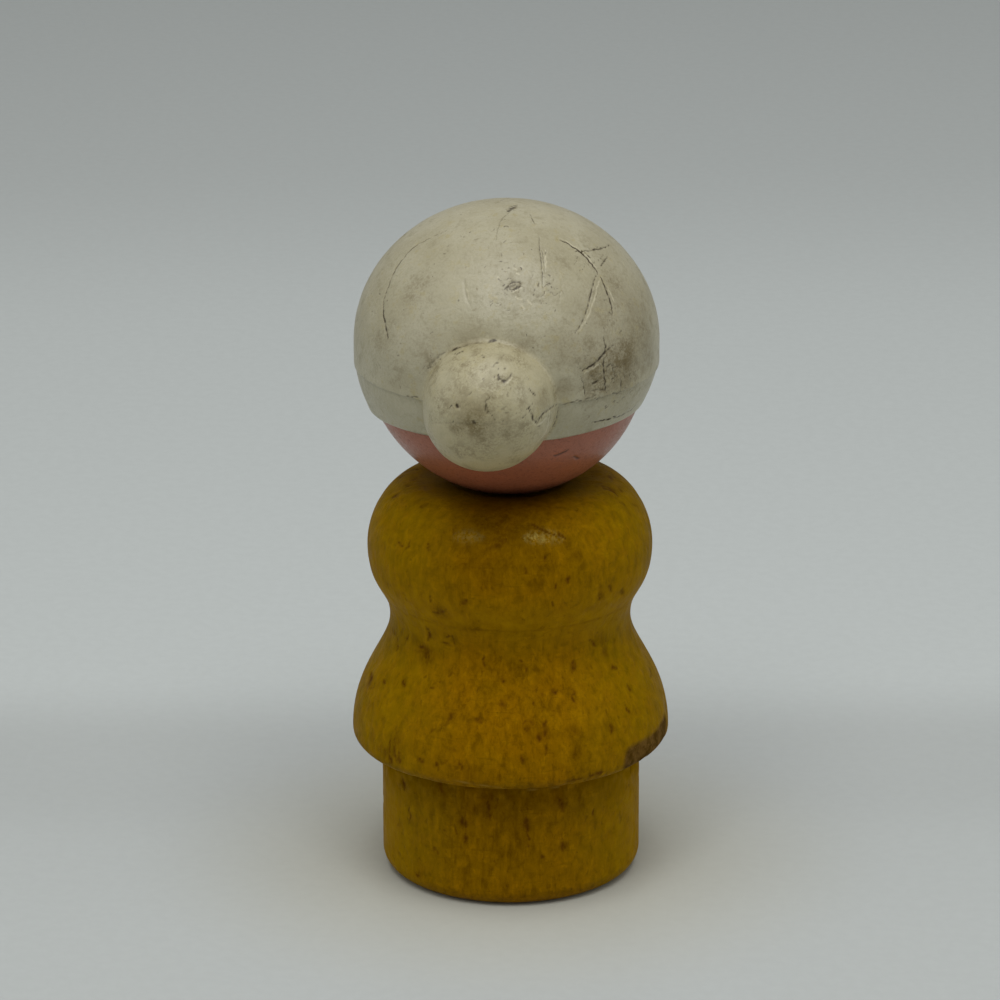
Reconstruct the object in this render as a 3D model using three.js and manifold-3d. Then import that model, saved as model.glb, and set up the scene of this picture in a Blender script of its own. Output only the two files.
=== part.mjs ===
// A peg figure: a turned wooden body, and a moulded head that turns on a steel pin.
// Millimetres, +Z up. The origin is the centre of the foot; the face looks along -Y.
import * as THREE from "three";
import { mergeVertices } from "three/addons/utils/BufferGeometryUtils.js";
import Module from "manifold-3d";

const wasm = await Module();
wasm.setup();

// Body, one piece of turned wood, from the foot up.
const PEG_DIAMETER = 22.2;
const PEG_HEIGHT = 11.6;
const FOOT_ROUND = 1.6;
const HEM_DIAMETER = 27.2;
const HEM_ROUND = 1.1;
const SKIRT_HEIGHT = 10.05;
const WAIST_DIAMETER = 20.6;
const CHEST_HEIGHT = 6.4;
const SHOULDER_DIAMETER = 24.3;
const SHOULDER_RISE = 5.8;
const CREST_DIAMETER = 15.4;
const SEAT_DEPTH = 1.15;

// How far each curve of the body keeps to its end tangents, as a share of its own rise or run.
const SKIRT_FULLNESS = 0.5;
const WAIST_FULLNESS_BELOW = 0.28;
const WAIST_FULLNESS_ABOVE = 0.44;
const CHEST_FULLNESS = 0.57;
const SHOULDER_FULLNESS = 0.48;
const CREST_FULLNESS = 0.58;

// Head shell, a hollow ball with a flat floor, open at the crown under the hair.
const HEAD_DIAMETER = 23.8;
const SEAT_GAP = 0.3;
const REBATE_DEPTH = 0.9;
const HEAD_WALL = 1.8;
const FLOOR_RISE = 1.1;
const CROWN_OPENING = 11.2;

// Neck pin, driven through the floor of the head into the body.
const PIN_DIAMETER = 2.8;
const PIN_DEPTH = 16;
const PIN_HEAD_DIAMETER = 6.4;
const PIN_HEAD_HEIGHT = 1;
const PIN_POINT = 2.2;
const RING_COUNT = 8;
const RING_PITCH = 1.3;
const RING_DEPTH = 0.2;
const RING_LEDGE = 0.25;
const PIN_TURNING_GAP = 0.2;
const PIN_DRIVEN_GAP = 0.1;
const PIN_TIP_GAP = 0.3;

// Hair cap, a moulded shell that laps over the rebate of the head.
const CAP_GAP = 0.3;
const HAIR_WALL = 1.57;
const CROWN_WALL = 1.7;
const DOME_LIFT = 1.17;
const BAND_INSET = 0.12;
const PARTING_DROP = 0.65;
const RIM_DROP = 4.72;
const RIM_TILT_DEGREES = 3.2;
const BUN_DIAMETER = 10.9;
const BUN_SINK = 0.67;
const BUN_WALL = 1.6;
const BUN_FILLET = 0.6;

// Opening of the hair round the face, measured from the centre of the head along the tilt of the rim.
const FACE_WIDTH = 18;
const FACE_TOP = 7;
const FACE_ARCH = 6.5;
const FACE_CORNER = 1.6;

// Fineness of the curved faces.
const SIDES = 48;
const PIN_SIDES = 20;
const BUN_SIDES = 28;
const BALL_STEPS = 18;
const CURVE_STEPS = 8;
const ROUND_STEPS = 4;

// Heights up the body.
const HEM_Z = PEG_HEIGHT + HEM_ROUND;
const WAIST_Z = HEM_Z + SKIRT_HEIGHT;
const SHOULDER_Z = WAIST_Z + CHEST_HEIGHT;
const CREST_Z = SHOULDER_Z + SHOULDER_RISE;
const SEAT_Z = CREST_Z - SEAT_DEPTH;

// Sizes of the head that follow from the sizes above.
const HEAD_RADIUS = HEAD_DIAMETER / 2;
const HEAD_Z = SEAT_Z + SEAT_GAP + HEAD_RADIUS;
const DISH_RADIUS = HEAD_RADIUS + SEAT_GAP;
const REBATE_RADIUS = HEAD_RADIUS - REBATE_DEPTH;
const CAVITY_RADIUS = REBATE_RADIUS - HEAD_WALL;
const FLOOR_Z = HEAD_Z - CAVITY_RADIUS + FLOOR_RISE;
const CAP_BORE_RADIUS = REBATE_RADIUS + CAP_GAP;
const DOME_RADIUS = CAP_BORE_RADIUS + HAIR_WALL;
const DOME_HEIGHT = CAP_BORE_RADIUS + CROWN_WALL - DOME_LIFT;
const DOME_Z = HEAD_Z + DOME_LIFT;
const PARTING_Z = HEAD_Z - PARTING_DROP;
const BUN_RADIUS = BUN_DIAMETER / 2;
const BUN_REACH = DOME_RADIUS - BUN_SINK;
const RIM_TILT = THREE.MathUtils.degToRad(RIM_TILT_DEGREES);

// Length of the cutting solids, which reach past the hair on every side.
const CUTTER_REACH = 4 * DOME_RADIUS;

// Sizes of the pin and its two holes.
const PIN_RADIUS = PIN_DIAMETER / 2;
const PIN_HEAD_Z = FLOOR_Z + PIN_TURNING_GAP;
const PIN_TIP_Z = SEAT_Z - PIN_DEPTH;
const TURNING_HOLE_RADIUS = PIN_RADIUS + PIN_TURNING_GAP;
const DRIVEN_HOLE_RADIUS = PIN_RADIUS + PIN_DRIVEN_GAP;

const point = (r, z) => new THREE.Vector2(r, z);

// Points along an arc of an ellipse, in degrees from +r towards +z.
function arc(r, z, radius, height, from, to, steps) {
  return Array.from({ length: steps + 1 }, (_, i) => {
    const angle = THREE.MathUtils.degToRad(from + ((to - from) * i) / steps);
    return point(r + radius * Math.cos(angle), z + height * Math.sin(angle));
  });
}

// Points along a curve that leaves one point and meets the next along the given handles.
function bend(start, startHandle, endHandle, end) {
  const curve = new THREE.CubicBezierCurve(start, startHandle, endHandle, end);
  return curve.getPoints(CURVE_STEPS);
}

// A profile of points (radius, height) turned about the Z axis.
function turned(profile, sides) {
  return new THREE.LatheGeometry(profile, sides).rotateX(Math.PI / 2);
}

// A ball on the Z axis.
function ball(radius, z, sides) {
  return turned(arc(0, z, radius, radius, -90, 90, BALL_STEPS), sides);
}

// A geometry as a closed solid for cutting and joining.
function solid(geometry) {
  const weld = 1e-4;
  const bare = geometry.clone();
  bare.deleteAttribute("normal");
  bare.deleteAttribute("uv");
  const merged = mergeVertices(bare, weld);
  return new wasm.Manifold(
    new wasm.Mesh({
      numProp: 3,
      vertProperties: merged.attributes.position.array,
      triVerts: new Uint32Array(merged.index.array),
    }),
  );
}

// A closed solid as a geometry with flat faces.
function geometryOf(made) {
  const mesh = made.getMesh();
  const geometry = new THREE.BufferGeometry();
  geometry.setAttribute("position", new THREE.BufferAttribute(mesh.vertProperties, 3));
  geometry.setIndex(new THREE.BufferAttribute(mesh.triVerts, 1));
  geometry.computeVertexNormals();
  return geometry;
}

// Body: peg, hem, skirt, waist and shoulders, with a dished seat and a pilot hole for the pin.
function bodyGeometry() {
  const pegRadius = PEG_DIAMETER / 2;
  const hemRadius = HEM_DIAMETER / 2;
  const waistRadius = WAIST_DIAMETER / 2;
  const shoulderRadius = SHOULDER_DIAMETER / 2;
  const crestRadius = CREST_DIAMETER / 2;
  const seatRim = Math.acos(1 - SEAT_DEPTH / DISH_RADIUS);
  const seatEdge = Math.asin(DRIVEN_HOLE_RADIUS / DISH_RADIUS);
  const degrees = THREE.MathUtils.radToDeg;

  const foot = arc(pegRadius - FOOT_ROUND, FOOT_ROUND, FOOT_ROUND, FOOT_ROUND, -90, 0, ROUND_STEPS);
  const hem = arc(hemRadius - HEM_ROUND, HEM_Z, HEM_ROUND, HEM_ROUND, -90, 0, ROUND_STEPS);
  const skirt = bend(
    point(hemRadius, HEM_Z),
    point(hemRadius, HEM_Z + SKIRT_FULLNESS * SKIRT_HEIGHT),
    point(waistRadius, WAIST_Z - WAIST_FULLNESS_BELOW * SKIRT_HEIGHT),
    point(waistRadius, WAIST_Z),
  );
  const chest = bend(
    point(waistRadius, WAIST_Z),
    point(waistRadius, WAIST_Z + WAIST_FULLNESS_ABOVE * CHEST_HEIGHT),
    point(shoulderRadius, SHOULDER_Z - CHEST_FULLNESS * CHEST_HEIGHT),
    point(shoulderRadius, SHOULDER_Z),
  );
  const shoulder = bend(
    point(shoulderRadius, SHOULDER_Z),
    point(shoulderRadius, SHOULDER_Z + SHOULDER_FULLNESS * SHOULDER_RISE),
    point(crestRadius + CREST_FULLNESS * (shoulderRadius - crestRadius), CREST_Z),
    point(crestRadius, CREST_Z),
  );
  const seat = arc(
    0,
    HEAD_Z,
    DISH_RADIUS,
    DISH_RADIUS,
    degrees(seatRim) - 90,
    degrees(seatEdge) - 90,
    ROUND_STEPS,
  );
  const pilotHole = [
    point(DRIVEN_HOLE_RADIUS, PIN_TIP_Z + PIN_POINT),
    point(0, PIN_TIP_Z - PIN_TIP_GAP),
  ];
  const profile = [
    point(0, 0),
    ...foot,
    point(pegRadius, PEG_HEIGHT),
    ...hem,
    ...skirt.slice(1),
    ...chest.slice(1),
    ...shoulder.slice(1),
    ...seat,
    ...pilotHole,
  ];
  return turned(profile, SIDES);
}

// Neck pin: a flat head, a plain neck that the head turns on, a ringed shank and a point.
function pinGeometry() {
  const ringTop = PIN_TIP_Z + PIN_POINT + RING_COUNT * RING_PITCH;
  const rings = [];
  for (let i = 0; i < RING_COUNT; i += 1) {
    const foot = PIN_TIP_Z + PIN_POINT + i * RING_PITCH;
    rings.push(point(PIN_RADIUS - RING_DEPTH, foot));
    rings.push(point(PIN_RADIUS, foot + RING_PITCH - RING_LEDGE));
  }
  const profile = [
    point(0, PIN_TIP_Z),
    ...rings,
    point(PIN_RADIUS, ringTop),
    point(PIN_RADIUS, PIN_HEAD_Z),
    point(PIN_HEAD_DIAMETER / 2, PIN_HEAD_Z),
    point(PIN_HEAD_DIAMETER / 2, PIN_HEAD_Z + PIN_HEAD_HEIGHT),
    point(0, PIN_HEAD_Z + PIN_HEAD_HEIGHT),
  ];
  return turned(profile, PIN_SIDES);
}

// A cutter drawn level about the centre of the head, tilted with the rim of the hair.
function tilted(cutter) {
  return solid(cutter.rotateX(RIM_TILT).translate(0, 0, HEAD_Z));
}

// Everything below the lower rim of the hair, dropped by the gap.
function belowRim(gap) {
  const slab = new THREE.BoxGeometry(CUTTER_REACH, CUTTER_REACH, CUTTER_REACH);
  return tilted(slab.translate(0, 0, -CUTTER_REACH / 2 - RIM_DROP - gap));
}

// The arched column in front of the face, drawn in on every side by the gap.
function faceColumn(gap) {
  const half = FACE_WIDTH / 2 - gap;
  const foot = half + FACE_CORNER;
  const springing = FACE_TOP - FACE_ARCH;
  const corner = -RIM_DROP - gap;
  const outline = new THREE.Shape();
  outline.moveTo(-foot, -CUTTER_REACH);
  outline.lineTo(-foot, corner);
  outline.quadraticCurveTo(-half, corner, -half, corner + FACE_CORNER);
  outline.lineTo(-half, springing);
  outline.absellipse(0, springing, half, FACE_ARCH - gap, Math.PI, 0, true);
  outline.lineTo(half, corner + FACE_CORNER);
  outline.quadraticCurveTo(half, corner, foot, corner);
  outline.lineTo(foot, -CUTTER_REACH);
  outline.closePath();
  const column = new THREE.ExtrudeGeometry(outline, {
    depth: CUTTER_REACH,
    curveSegments: CURVE_STEPS,
    bevelEnabled: false,
  });
  return tilted(column.rotateX(Math.PI / 2));
}

// Head shell: the hollow ball with its pin hole, cut back where the hair laps over it.
function headGeometry() {
  const openingRadius = CROWN_OPENING / 2;
  const openingRise = Math.sqrt(CAVITY_RADIUS ** 2 - openingRadius ** 2);
  const degrees = THREE.MathUtils.radToDeg;
  const outerStart = degrees(Math.asin(TURNING_HOLE_RADIUS / HEAD_RADIUS)) - 90;
  const outerEnd = degrees(Math.asin(openingRise / HEAD_RADIUS));
  const innerStart = degrees(Math.asin(openingRise / CAVITY_RADIUS));
  const innerEnd = degrees(Math.asin((FLOOR_Z - HEAD_Z) / CAVITY_RADIUS));
  const outside = arc(0, HEAD_Z, HEAD_RADIUS, HEAD_RADIUS, outerStart, outerEnd, BALL_STEPS);
  const inside = arc(0, HEAD_Z, CAVITY_RADIUS, CAVITY_RADIUS, innerStart, innerEnd, BALL_STEPS / 2);
  const floor = [point(TURNING_HOLE_RADIUS, FLOOR_Z), outside[0]];
  const hollowBall = solid(turned([...outside, ...inside, ...floor], SIDES));
  const rebate = solid(ball(HEAD_RADIUS + REBATE_DEPTH, HEAD_Z, SIDES))
    .subtract(solid(ball(REBATE_RADIUS, HEAD_Z, SIDES)))
    .subtract(belowRim(CAP_GAP))
    .subtract(faceColumn(CAP_GAP));
  return geometryOf(hollowBall.subtract(rebate));
}

// Bun: a ball with a hollow-curved foot that runs into the hair, turned about the line from the
// centre of the dome through the centre of the ball.
function bunGeometry() {
  const drop = PARTING_Z - DOME_Z;
  const reach = Math.hypot(BUN_REACH, drop);
  const domeToFillet = DOME_RADIUS + BUN_FILLET;
  const bunToFillet = BUN_RADIUS + BUN_FILLET;
  const along = (domeToFillet ** 2 - bunToFillet ** 2 + reach ** 2) / (2 * reach);
  const across = Math.sqrt(domeToFillet ** 2 - along ** 2);
  const degrees = THREE.MathUtils.radToDeg;
  const domeSide = degrees(Math.atan2(-along, -across));
  const bunSide = degrees(Math.atan2(reach - along, -across));
  const footEdge = degrees(Math.atan2(along - reach, across));
  const fillet = arc(across, along, BUN_FILLET, BUN_FILLET, domeSide + 360, bunSide, ROUND_STEPS);
  const crown = arc(0, reach, BUN_RADIUS, BUN_RADIUS, footEdge, 90, BALL_STEPS / 2);
  const profile = [point(0, fillet[0].y), ...fillet, ...crown.slice(1)];
  const slope = Math.atan2(drop, BUN_REACH);
  return turned(profile, BUN_SIDES)
    .rotateX(slope - Math.PI / 2)
    .translate(0, 0, DOME_Z);
}

// Hair cap: a dome over an inset band, with a hollow bun on the parting plane at the nape.
function hairGeometry() {
  const bandRadius = DOME_RADIUS - BAND_INSET;
  const partingDip = PARTING_Z - DOME_Z;
  const degrees = THREE.MathUtils.radToDeg;
  const domeEnd = degrees(Math.asin(partingDip / DOME_HEIGHT));
  const bandStart = degrees(Math.asin(partingDip / bandRadius));
  const band = arc(0, DOME_Z, bandRadius, bandRadius, -90, bandStart, BALL_STEPS / 2);
  const dome = arc(0, DOME_Z, DOME_RADIUS, DOME_HEIGHT, domeEnd, 90, BALL_STEPS - ROUND_STEPS);
  const outside = solid(turned([...band, ...dome], SIDES));
  const bunCore = ball(BUN_RADIUS - BUN_WALL, PARTING_Z, BUN_SIDES).translate(0, BUN_REACH, 0);
  const bunHollow = solid(bunCore).subtract(belowRim(-BUN_WALL));
  const headBelowRim = belowRim(0).intersect(solid(ball(HEAD_RADIUS + CAP_GAP, HEAD_Z, SIDES)));
  const cap = outside
    .subtract(belowRim(0))
    .add(solid(bunGeometry()))
    .subtract(headBelowRim)
    .subtract(solid(ball(CAP_BORE_RADIUS, HEAD_Z, SIDES)))
    .subtract(bunHollow)
    .subtract(faceColumn(0));
  return geometryOf(cap);
}

// Yellow-stained hardwood with a satin finish.
const stainedWood = () =>
  new THREE.MeshStandardMaterial({ color: 0x79570a, roughness: 0.45, metalness: 0 });

// Bright drawn steel.
const pinSteel = () =>
  new THREE.MeshStandardMaterial({ color: 0xa9a9a6, roughness: 0.35, metalness: 1 });

// Dusty pink moulded plastic.
const pinkPlastic = () =>
  new THREE.MeshStandardMaterial({ color: 0x8f5c4a, roughness: 0.5, metalness: 0 });

// Ivory moulded plastic.
const ivoryPlastic = () =>
  new THREE.MeshStandardMaterial({ color: 0xa9a38b, roughness: 0.5, metalness: 0 });

function piece(name, geometry, material) {
  const mesh = new THREE.Mesh(geometry, material);
  mesh.name = name;
  return mesh;
}

const figure = new THREE.Group();
figure.name = "peg_figure";
figure.add(piece("body", bodyGeometry(), stainedWood()));
figure.add(piece("neck_pin", pinGeometry(), pinSteel()));
figure.add(piece("head_shell", headGeometry(), pinkPlastic()));
figure.add(piece("hair_cap", hairGeometry(), ivoryPlastic()));

export default figure;
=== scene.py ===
import math

import bpy
import numpy as np
from mathutils import Matrix, Vector, noise
from mathutils.bvhtree import BVHTree


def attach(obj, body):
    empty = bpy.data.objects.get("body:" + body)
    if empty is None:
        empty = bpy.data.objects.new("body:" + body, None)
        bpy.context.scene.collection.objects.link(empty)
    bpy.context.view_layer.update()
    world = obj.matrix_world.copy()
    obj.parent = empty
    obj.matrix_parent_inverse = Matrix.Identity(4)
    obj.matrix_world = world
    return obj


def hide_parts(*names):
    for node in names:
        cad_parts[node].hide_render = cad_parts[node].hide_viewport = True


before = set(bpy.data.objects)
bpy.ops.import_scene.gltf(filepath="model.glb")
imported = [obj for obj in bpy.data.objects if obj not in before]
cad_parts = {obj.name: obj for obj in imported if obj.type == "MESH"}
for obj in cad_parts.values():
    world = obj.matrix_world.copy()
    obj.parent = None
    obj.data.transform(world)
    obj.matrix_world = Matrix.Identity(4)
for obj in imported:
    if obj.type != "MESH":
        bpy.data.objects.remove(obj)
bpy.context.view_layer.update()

MM = 0.001


# Camera: a long lens a little above the figure and behind it, as the picture was taken.
# It leans by a fraction of a degree, and stands a hair to one side of the figure's axis.
AIM_HEIGHT = 32.89 * MM
STAND_OFF = 450 * MM
AZIMUTH, ELEVATION = math.radians(186.9), math.radians(19.3)
LEAN = math.radians(-0.287)
SIDE_STEP = -0.82 * MM
PICTURE_PIXELS = 1000
FOCAL_PIXELS = 5300
SENSOR_WIDTH = 36


def placed(name, data):
    """A thing in the scene that shows a mesh, a lamp or a camera."""
    thing = bpy.data.objects.new(name, data)
    bpy.context.collection.objects.link(thing)
    return thing


flat = math.cos(ELEVATION)
towards_camera = Vector((flat * math.sin(AZIMUTH), -flat * math.cos(AZIMUTH), math.sin(ELEVATION)))
camera = placed("camera", bpy.data.cameras.new("camera"))
camera.data.sensor_width = SENSOR_WIDTH
camera.data.lens = SENSOR_WIDTH * FOCAL_PIXELS / PICTURE_PIXELS
camera.data.clip_start, camera.data.clip_end = 10 * MM, 10
turn = (-towards_camera).to_track_quat("-Z", "Y").to_matrix() @ Matrix.Rotation(LEAN, 3, "Z")
stand = Vector((0, 0, AIM_HEIGHT)) + STAND_OFF * towards_camera + SIDE_STEP * turn.col[0]
camera.matrix_world = Matrix.LocRotScale(stand, turn.to_quaternion(), None)
bpy.context.scene.camera = camera


def sight_line(across, down):
    """The direction from the camera through a pixel of the photograph."""
    half = PICTURE_PIXELS / 2
    return (turn @ Vector(((across - half) / FOCAL_PIXELS, (half - down) / FOCAL_PIXELS, -1))).normalized()


# Body: one piece of hardwood turned on a lathe, stained yellow under a worn satin varnish.
# A round peg for a foot, a flared skirt, a waist, shoulders, and a dished seat bored for the pin.
PEG_RADIUS, PEG_HEIGHT, FOOT_ROUND = 11.1 * MM, 11.6 * MM, 1.6 * MM
HEM_RADIUS, HEM_ROUND, SKIRT_HEIGHT = 13.6 * MM, 1.1 * MM, 10.05 * MM
WAIST_RADIUS, CHEST_HEIGHT = 10.3 * MM, 6.4 * MM
SHOULDER_RADIUS, SHOULDER_RISE = 12.15 * MM, 5.8 * MM
CREST_RADIUS, SEAT_DEPTH, SEAT_GAP = 7.7 * MM, 1.15 * MM, 0.3 * MM
SKIRT_FLARE, SKIRT_HOLLOW, CHEST_HOLLOW, CHEST_SWELL = 0.5, 0.28, 0.44, 0.57
SHOULDER_SWELL, CREST_SWELL = 0.48, 0.58
PILOT_RADIUS, PILOT_SHOULDER, PILOT_TIP = 1.5 * MM, 20.0 * MM, 17.5 * MM
BALL_RADIUS = 11.9 * MM
HEM_LEVEL = PEG_HEIGHT + HEM_ROUND
WAIST_LEVEL = HEM_LEVEL + SKIRT_HEIGHT
SHOULDER_LEVEL = WAIST_LEVEL + CHEST_HEIGHT
CREST_LEVEL = SHOULDER_LEVEL + SHOULDER_RISE
SEAT_LEVEL = CREST_LEVEL - SEAT_DEPTH
BALL_LEVEL = SEAT_LEVEL + SEAT_GAP + BALL_RADIUS
DISH_RADIUS = BALL_RADIUS + SEAT_GAP
BODY_COLUMNS = 600
CROWDING = 0.33
HAND_SEED = 3
# The unsteady hand that draws the marks of wear is the same on each run.
noise.seed_set(HAND_SEED)


def bow(start, start_handle, end_handle, end, steps):
    """Points (radius, height) along a curve that leaves and arrives along its two handles."""
    t = np.linspace(0, 1, steps + 1)[1:, None]
    points = (start, start_handle, end_handle, end)
    shares = ((1 - t) ** 3, 3 * t * (1 - t) ** 2, 3 * t**2 * (1 - t), t**3)
    return sum(share * np.array(point) for share, point in zip(shares, points))


def round_over(radius, level, reach, start, end, steps):
    """Points (radius, height) along an arc, in degrees from outwards towards up."""
    angle = np.radians(np.linspace(start, end, steps + 1))
    return np.stack([radius + reach * np.cos(angle), level + reach * np.sin(angle)], 1)


def straight(start, end, steps):
    """Points (radius, height) along a line, without its first point."""
    t = np.linspace(0, 1, steps + 1)[1:, None]
    return np.array(start) * (1 - t) + np.array(end) * t


def columns(count):
    """Angles round the axis, closer together on the side that the camera sees."""
    even = np.linspace(0, 2 * math.pi, count, endpoint=False)
    return math.atan2(towards_camera.y, towards_camera.x) + even - CROWDING * np.sin(even)


def turned(profile, angles):
    """Rings of points from a profile of (radius, height) turned about the axis of the figure."""
    radius, level = profile[:, 0, None], profile[:, 1, None]
    rings = (radius * np.cos(angles), radius * np.sin(angles), level + 0 * angles)
    return np.stack(rings, 2)


def skin(name, rings, first=None, last=None):
    """A smooth mesh over rings of points, closed by a point at each end, or else end to end."""
    rows, count = rings.shape[:2]
    row, column = np.meshgrid(np.arange(rows), np.arange(count), indexing="ij")
    beside, above = (column + 1) % count, (row + 1) % rows
    here, over = row * count, above * count
    quads = np.stack([here + column, here + beside, over + beside, over + column], 2)
    points = rings.reshape(-1, 3)
    if first is None:
        faces = quads.reshape(-1, 4).tolist()
    else:
        foot, tip = len(points), len(points) + 1
        points = np.vstack([points, first, last])
        ring, after = np.arange(count), (np.arange(count) + 1) % count
        top = (rows - 1) * count
        faces = quads[:-1].reshape(-1, 4).tolist()
        faces += np.stack([np.full(count, foot), after, ring], 1).tolist()
        faces += np.stack([np.full(count, tip), top + ring, top + after], 1).tolist()
    mesh = bpy.data.meshes.new(name)
    mesh.from_pydata(points.tolist(), [], faces)
    mesh.shade_smooth()
    return placed(name, mesh)


def measured(piece):
    """A piece's points and normals as arrays, and a tree to cast sight lines on."""
    mesh = piece.data
    points, normals = np.empty(3 * len(mesh.vertices)), np.empty(3 * len(mesh.vertices))
    mesh.vertices.foreach_get("co", points)
    mesh.vertex_normals.foreach_get("vector", normals)
    tree = BVHTree.FromPolygons(points.reshape(-1, 3).tolist(), [face.vertices for face in mesh.polygons])
    return points.reshape(-1, 3), normals.reshape(-1, 3), tree


def drawn_on(tree, pixels, wobble=0.0):
    """Points on a piece under a smooth line through pixels of the photograph, in an unsteady hand."""
    knots = np.reshape(np.array(pixels, float), (-1, 2))
    knots = np.vstack([knots[:1], knots, knots[-1:]])
    found = []
    for a, b, c, d in zip(knots, knots[1:], knots[2:], knots[3:]):
        for t in np.linspace(0, 1, 2 + int(2 * np.hypot(*(c - b)))):
            pull, twist = 2 * a - 5 * b + 4 * c - d, 3 * b - a - 3 * c + d
            bend = 0.5 * (2 * b + (c - a) * t + pull * t**2 + twist * t**3)
            bend = bend + wobble * np.array(noise.noise_vector(Vector((bend[0] / 4, bend[1] / 4, 0)))[:2])
            hit = tree.ray_cast(camera.location, sight_line(*bend))[0]
            if hit is not None:
                found.append(hit)
    return np.array(found)


def clipped(value):
    """A value kept between 0 and 1."""
    return np.clip(value, 0, 1)


def nearness(points, path, width, tapered=True, stretch=30):
    """1 along a path and 0 beyond its width, which narrows at the two ends of a tapered one."""
    value = np.zeros(len(points))
    along = np.linspace(0, 1, len(path))
    widths = width * (0.45 + 0.55 * np.sin(math.pi * along) if tapered else np.ones(len(path)))
    for start in range(0, len(path), stretch):
        part, reach = path[start : start + stretch + 1], widths[start : start + stretch + 1]
        near = np.flatnonzero(((points > part.min(0) - width) & (points < part.max(0) + width)).all(1))
        if len(near):
            gap = np.linalg.norm(points[near, None] - part[None], axis=2) / reach
            value[near] = np.maximum(value[near], clipped(1 - gap.min(1)))
    return value * value * (3 - 2 * value)


def lines_on(points, tree, lines, width, wobble=0.0):
    """1 along each of several lines over the photograph and 0 beyond their width."""
    value = np.zeros(len(points))
    for pixels in lines:
        value = np.maximum(value, nearness(points, drawn_on(tree, pixels, wobble), width))
    return value


def store(piece, points, **masks):
    """Puts a piece's points back, with masks that its finish reads by name."""
    piece.data.vertices.foreach_set("co", points.ravel())
    for name, mask in masks.items():
        piece.data.attributes.new(name, "FLOAT", "POINT").data.foreach_set("value", clipped(mask))
    piece.data.update()


def unevenness(points, size, seed):
    """Smooth lumps of about the given size, from -1 to 1, one value for each point."""
    shift = Vector((seed, 2 * seed, 3 * seed))
    return np.array([noise.noise(Vector(point) / size + shift) for point in points])


def ragged(points, mask, size, seed):
    """A mask broken up by lumps of about the given size."""
    some = np.flatnonzero(mask > 0)
    broken = np.zeros(len(mask))
    broken[some] = mask[some] * np.clip(0.9 + 1.1 * unevenness(points[some], size, seed), 0.15, 1)
    return broken


def colour(red, green, blue):
    """A colour as a screen shows it, from 0 to 255, turned into the renderer's own values."""
    share = np.array([red, green, blue]) / 255
    return (*np.where(share <= 0.04045, share / 12.92, ((share + 0.055) / 1.055) ** 2.4), 1)


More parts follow.
